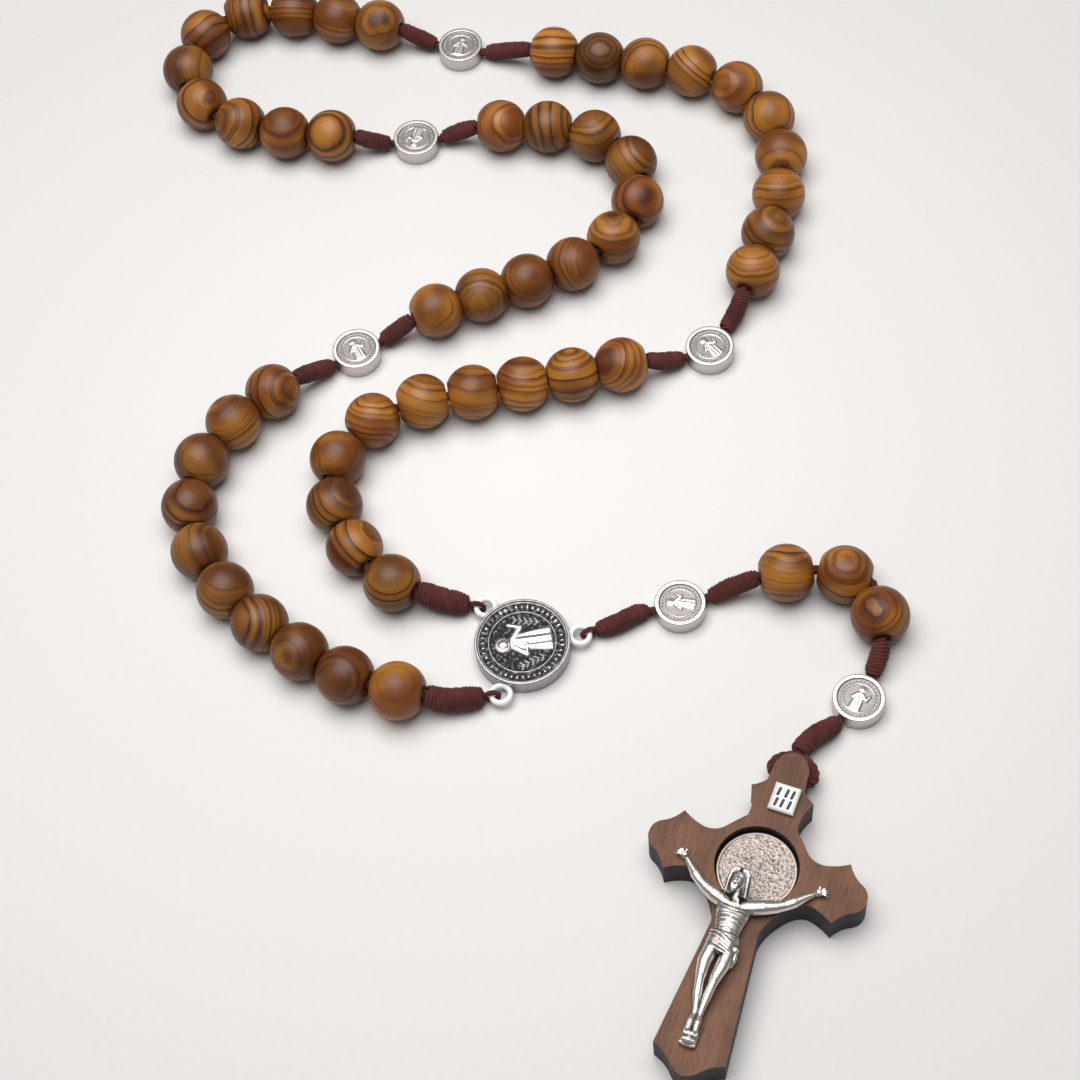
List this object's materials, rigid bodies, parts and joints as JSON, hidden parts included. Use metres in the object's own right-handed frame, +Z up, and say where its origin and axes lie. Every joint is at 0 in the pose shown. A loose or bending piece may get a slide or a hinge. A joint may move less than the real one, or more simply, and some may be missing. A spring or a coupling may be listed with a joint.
{
  "type": "rosary",
  "caption": "Knotted cord rosary laid flat: loop of wooden bead decades with small drilled medals, cast centrepiece, short pendant and a wooden crucifix with a cast figure.",
  "frame": {"origin": "middle of the laid-out outline, at the level of the surface it lies on", "axes": "+Z up from the surface, +Y along the longer side of the laid-out outline, crucifix towards -Y"},
  "size_m": [0.1254, 0.2344, 0.0103],
  "materials": {
    "bead_wood": "striped honey-brown hardwood, waxed satin",
    "cord_maroon": "twisted maroon cord, matte",
    "bright_silver": "bright silver-tone casting",
    "aged_silver": "antiqued silver-tone casting, dark in the recesses",
    "cross_wood": "mid brown wood face, near-black stained edges",
    "title_plate": "satin pale metal plate"
  },
  "bodies": {
    "centrepiece": {"centrepiece": "aged_silver"},
    "strand_1": {"cord_decade_1": "cord_maroon", "decade_1_beads_3_4": "bead_wood", "decade_1_beads_5_6": "bead_wood", "decade_1_beads_7_8": "bead_wood"},
    "medal_1": {"medal_1": "bright_silver"},
    "strand_2": {"cord_decade_2": "cord_maroon", "decade_2_beads_3_4": "bead_wood", "decade_2_beads_5_6": "bead_wood", "decade_2_beads_7_8": "bead_wood", "medal_2": "bright_silver"},
    "strand_3": {"cord_decade_3": "cord_maroon", "decade_3_beads_3_4": "bead_wood", "decade_3_beads_5_6": "bead_wood", "decade_3_beads_7_8": "bead_wood", "medal_3": "bright_silver"},
    "strand_4": {"cord_decade_4": "cord_maroon", "decade_4_beads_3_4": "bead_wood", "decade_4_beads_5_6": "bead_wood", "decade_4_beads_7_8": "bead_wood"},
    "medal_4": {"medal_4": "bright_silver"},
    "strand_5": {"cord_decade_5": "cord_maroon", "decade_5_beads_3_4": "bead_wood", "decade_5_beads_5_6": "bead_wood", "decade_5_beads_7_8": "bead_wood"},
    "pendant_top": {"cord_pendant_top": "cord_maroon"},
    "medal_5": {"medal_5": "bright_silver"},
    "pendant_beads": {"cord_pendant_beads": "cord_maroon"},
    "medal_6": {"medal_6": "bright_silver"},
    "pendant_end": {"cord_pendant_end": "cord_maroon"},
    "crucifix": {"cross_wood": "cross_wood", "cross_inlay_medal": "bright_silver", "corpus": "bright_silver", "corpus_pin_left_hand": "bright_silver", "corpus_pin_right_hand": "bright_silver", "cross_title_plate": "title_plate", "cord_cross_loop": "cord_maroon"},
    "decade_1_bead_1": {"decade_1_bead_1": "bead_wood"},
    "decade_1_bead_2": {"decade_1_bead_2": "bead_wood"},
    "decade_1_bead_9": {"decade_1_bead_9": "bead_wood"},
    "decade_1_bead_10": {"decade_1_bead_10": "bead_wood"},
    "decade_2_bead_1": {"decade_2_bead_1": "bead_wood"},
    "decade_2_bead_2": {"decade_2_bead_2": "bead_wood"},
    "decade_2_bead_9": {"decade_2_bead_9": "bead_wood"},
    "decade_2_bead_10": {"decade_2_bead_10": "bead_wood"},
    "decade_3_bead_1": {"decade_3_bead_1": "bead_wood"},
    "decade_3_bead_2": {"decade_3_bead_2": "bead_wood"},
    "decade_3_bead_9": {"decade_3_bead_9": "bead_wood"},
    "decade_3_bead_10": {"decade_3_bead_10": "bead_wood"},
    "decade_4_bead_1": {"decade_4_bead_1": "bead_wood"},
    "decade_4_bead_2": {"decade_4_bead_2": "bead_wood"},
    "decade_4_bead_9": {"decade_4_bead_9": "bead_wood"},
    "decade_4_bead_10": {"decade_4_bead_10": "bead_wood"},
    "decade_5_bead_1": {"decade_5_bead_1": "bead_wood"},
    "decade_5_bead_2": {"decade_5_bead_2": "bead_wood"},
    "decade_5_bead_9": {"decade_5_bead_9": "bead_wood"},
    "decade_5_bead_10": {"decade_5_bead_10": "bead_wood"},
    "pendant_bead_1": {"pendant_bead_1": "bead_wood"},
    "pendant_bead_2": {"pendant_bead_2": "bead_wood"},
    "pendant_bead_3": {"pendant_bead_3": "bead_wood"}
  },
  "joints": [
    {"name": "crucifix_fold", "type": "hinge", "parent": "pendant_end", "child": "crucifix", "pos_m": [0.04102, -0.06461, 0.00325], "axis": [-0.8878, 0.4602, 0], "range_deg": [0, 60]},
    {"name": "decade_4_turn", "type": "hinge", "parent": "strand_3", "child": "strand_4", "pos_m": [-0.007, 0.07555, 0.0016], "axis": [0, 0, 1], "range_deg": [-12, 12]},
    {"name": "loop_swing", "type": "hinge", "parent": "centrepiece", "child": "strand_1", "pos_m": [-0.00784, -0.03029, 0.0017], "axis": [0, 0, 1], "range_deg": [-10, 10]},
    {"name": "medal_5_turn", "type": "hinge", "parent": "pendant_top", "child": "medal_5", "pos_m": [0.02081, -0.03504, 0.0016], "axis": [0, 0, 1], "range_deg": [-8, 12]},
    {"name": "medal_6_turn", "type": "hinge", "parent": "pendant_beads", "child": "medal_6", "pos_m": [0.05438, -0.05317, 0.0016], "axis": [0, 0, 1], "range_deg": [-8, 12]},
    {"name": "pendant_beads_turn", "type": "hinge", "parent": "medal_5", "child": "pendant_beads", "pos_m": [0.02952, -0.03399, 0.0016], "axis": [0, 0, 1], "range_deg": [-12, 20]},
    {"name": "pendant_end_turn", "type": "hinge", "parent": "medal_6", "child": "pendant_end", "pos_m": [0.04845, -0.05953, 0.0016], "axis": [0, 0, 1], "range_deg": [-10, 20]},
    {"name": "pendant_swing", "type": "hinge", "parent": "centrepiece", "child": "pendant_top", "pos_m": [0.00759, -0.03798, 0.0017], "axis": [0, 0, 1], "range_deg": [-15, 30]},
    {"name": "medal_1_turn", "type": "hinge", "parent": "strand_1", "child": "medal_1", "pos_m": [0.03373, 0.01636, 0.0016], "axis": [0, 0, 1], "range_deg": [-2, 2]},
    {"name": "decade_2_turn", "type": "hinge", "parent": "medal_1", "child": "strand_2", "pos_m": [0.04086, 0.02074, 0.0016], "axis": [0, 0, 1], "range_deg": [-2, 2]},
    {"name": "decade_3_turn", "type": "hinge", "parent": "strand_2", "child": "strand_3", "pos_m": [-0.00468, 0.09994, 0.0016], "axis": [0, 0, 1], "range_deg": [-9, 9]},
    {"name": "medal_4_turn", "type": "hinge", "parent": "strand_4", "child": "medal_4", "pos_m": [-0.02227, 0.02831, 0.0016], "axis": [0, 0, 1], "range_deg": [-5, 5]},
    {"name": "decade_5_turn", "type": "hinge", "parent": "medal_4", "child": "strand_5", "pos_m": [-0.03029, 0.02475, 0.0016], "axis": [0, 0, 1], "range_deg": [-3, 3]},
    {"name": "spin_decade_1_bead_1", "type": "hinge", "parent": "strand_1", "child": "decade_1_bead_1", "pos_m": [-0.02333, -0.02491, 0.005], "axis": [-0.8374, 0.5466, 0], "continuous": true},
    {"name": "spin_decade_1_bead_2", "type": "hinge", "parent": "strand_1", "child": "decade_1_bead_2", "pos_m": [-0.02931, -0.01696, 0.005], "axis": [-0.426, 0.9047, 0], "continuous": true},
    {"name": "spin_decade_1_bead_9", "type": "hinge", "parent": "strand_1", "child": "decade_1_bead_9", "pos_m": [0.01231, 0.01348, 0.005], "axis": [0.9968, 0.0794, 0], "continuous": true},
    {"name": "spin_decade_1_bead_10", "type": "hinge", "parent": "strand_1", "child": "decade_1_bead_10", "pos_m": [0.02139, 0.01431, 0.005], "axis": [0.9943, 0.107, 0], "continuous": true},
    {"name": "spin_decade_2_bead_1", "type": "hinge", "parent": "strand_2", "child": "decade_2_bead_1", "pos_m": [0.04811, 0.03158, 0.005], "axis": [0.4837, 0.8752, 0], "continuous": true},
    {"name": "spin_decade_2_bead_2", "type": "hinge", "parent": "strand_2", "child": "decade_2_bead_2", "pos_m": [0.05228, 0.03993, 0.005], "axis": [0.4123, 0.9111, 0], "continuous": true},
    {"name": "spin_decade_2_bead_9", "type": "hinge", "parent": "strand_2", "child": "decade_2_bead_9", "pos_m": [0.02648, 0.08835, 0.005], "axis": [-0.9498, 0.3129, 0], "continuous": true},
    {"name": "spin_decade_2_bead_10", "type": "hinge", "parent": "strand_2", "child": "decade_2_bead_10", "pos_m": [0.01776, 0.09137, 0.005], "axis": [-0.9361, 0.3517, 0], "continuous": true},
    {"name": "spin_decade_3_bead_1", "type": "hinge", "parent": "strand_3", "child": "decade_3_bead_1", "pos_m": [-0.01616, 0.10447, 0.005], "axis": [-0.9287, 0.3708, 0], "continuous": true},
    {"name": "spin_decade_3_bead_2", "type": "hinge", "parent": "strand_3", "child": "decade_3_bead_2", "pos_m": [-0.02458, 0.1078, 0.005], "axis": [-0.9283, 0.3718, 0], "continuous": true},
    {"name": "spin_decade_3_bead_9", "type": "hinge", "parent": "strand_3", "child": "decade_3_bead_9", "pos_m": [-0.0367, 0.07926, 0.005], "axis": [0.9485, -0.3168, 0], "continuous": true},
    {"name": "spin_decade_3_bead_10", "type": "hinge", "parent": "strand_3", "child": "decade_3_bead_10", "pos_m": [-0.02764, 0.07702, 0.005], "axis": [0.9865, -0.1638, 0], "continuous": true},
    {"name": "spin_decade_4_bead_1", "type": "hinge", "parent": "strand_4", "child": "decade_4_bead_1", "pos_m": [0.00545, 0.07406, 0.005], "axis": [0.9868, -0.162, 0], "continuous": true},
    {"name": "spin_decade_4_bead_2", "type": "hinge", "parent": "strand_4", "child": "decade_4_bead_2", "pos_m": [0.01444, 0.07234, 0.005], "axis": [0.969, -0.2469, 0], "continuous": true},
    {"name": "spin_decade_4_bead_9", "type": "hinge", "parent": "strand_4", "child": "decade_4_bead_9", "pos_m": [-0.0022, 0.03389, 0.005], "axis": [-0.9728, -0.2316, 0], "continuous": true},
    {"name": "spin_decade_4_bead_10", "type": "hinge", "parent": "strand_4", "child": "decade_4_bead_10", "pos_m": [-0.01095, 0.03168, 0.005], "axis": [-0.9661, -0.2581, 0], "continuous": true},
    {"name": "spin_decade_5_bead_1", "type": "hinge", "parent": "strand_5", "child": "decade_5_bead_1", "pos_m": [-0.04196, 0.01812, 0.005], "axis": [-0.8506, -0.5259, 0], "continuous": true},
    {"name": "spin_decade_5_bead_2", "type": "hinge", "parent": "strand_5", "child": "decade_5_bead_2", "pos_m": [-0.04942, 0.01252, 0.005], "axis": [-0.7363, -0.6766, 0], "continuous": true},
    {"name": "spin_decade_5_bead_9", "type": "hinge", "parent": "strand_5", "child": "decade_5_bead_9", "pos_m": [-0.03258, -0.04163, 0.005], "axis": [0.8422, -0.5391, 0], "continuous": true},
    {"name": "spin_decade_5_bead_10", "type": "hinge", "parent": "strand_5", "child": "decade_5_bead_10", "pos_m": [-0.02403, -0.04575, 0.005], "axis": [0.9551, -0.2964, 0], "continuous": true},
    {"name": "spin_pendant_bead_1", "type": "hinge", "parent": "pendant_beads", "child": "pendant_bead_1", "pos_m": [0.04369, -0.0327, 0.005], "axis": [1, -0.0003, 0], "continuous": true},
    {"name": "spin_pendant_bead_2", "type": "hinge", "parent": "pendant_beads", "child": "pendant_bead_2", "pos_m": [0.05348, -0.03447, 0.005], "axis": [0.9218, -0.3878, 0], "continuous": true},
    {"name": "spin_pendant_bead_3", "type": "hinge", "parent": "pendant_beads", "child": "pendant_bead_3", "pos_m": [0.0579, -0.04308, 0.005], "axis": [-0.0691, -0.9976, 0], "continuous": true}
  ],
  "couplings": [
    {"joint": "medal_1_turn", "follows": "loop_swing", "ratio": -0.0752},
    {"joint": "decade_5_turn", "follows": "loop_swing", "ratio": -0.169},
    {"joint": "decade_2_turn", "follows": "decade_4_turn", "ratio": -0.0565},
    {"joint": "decade_3_turn", "follows": "decade_4_turn", "ratio": -0.6654},
    {"joint": "medal_4_turn", "follows": "decade_4_turn", "ratio": -0.2781}
  ]
}
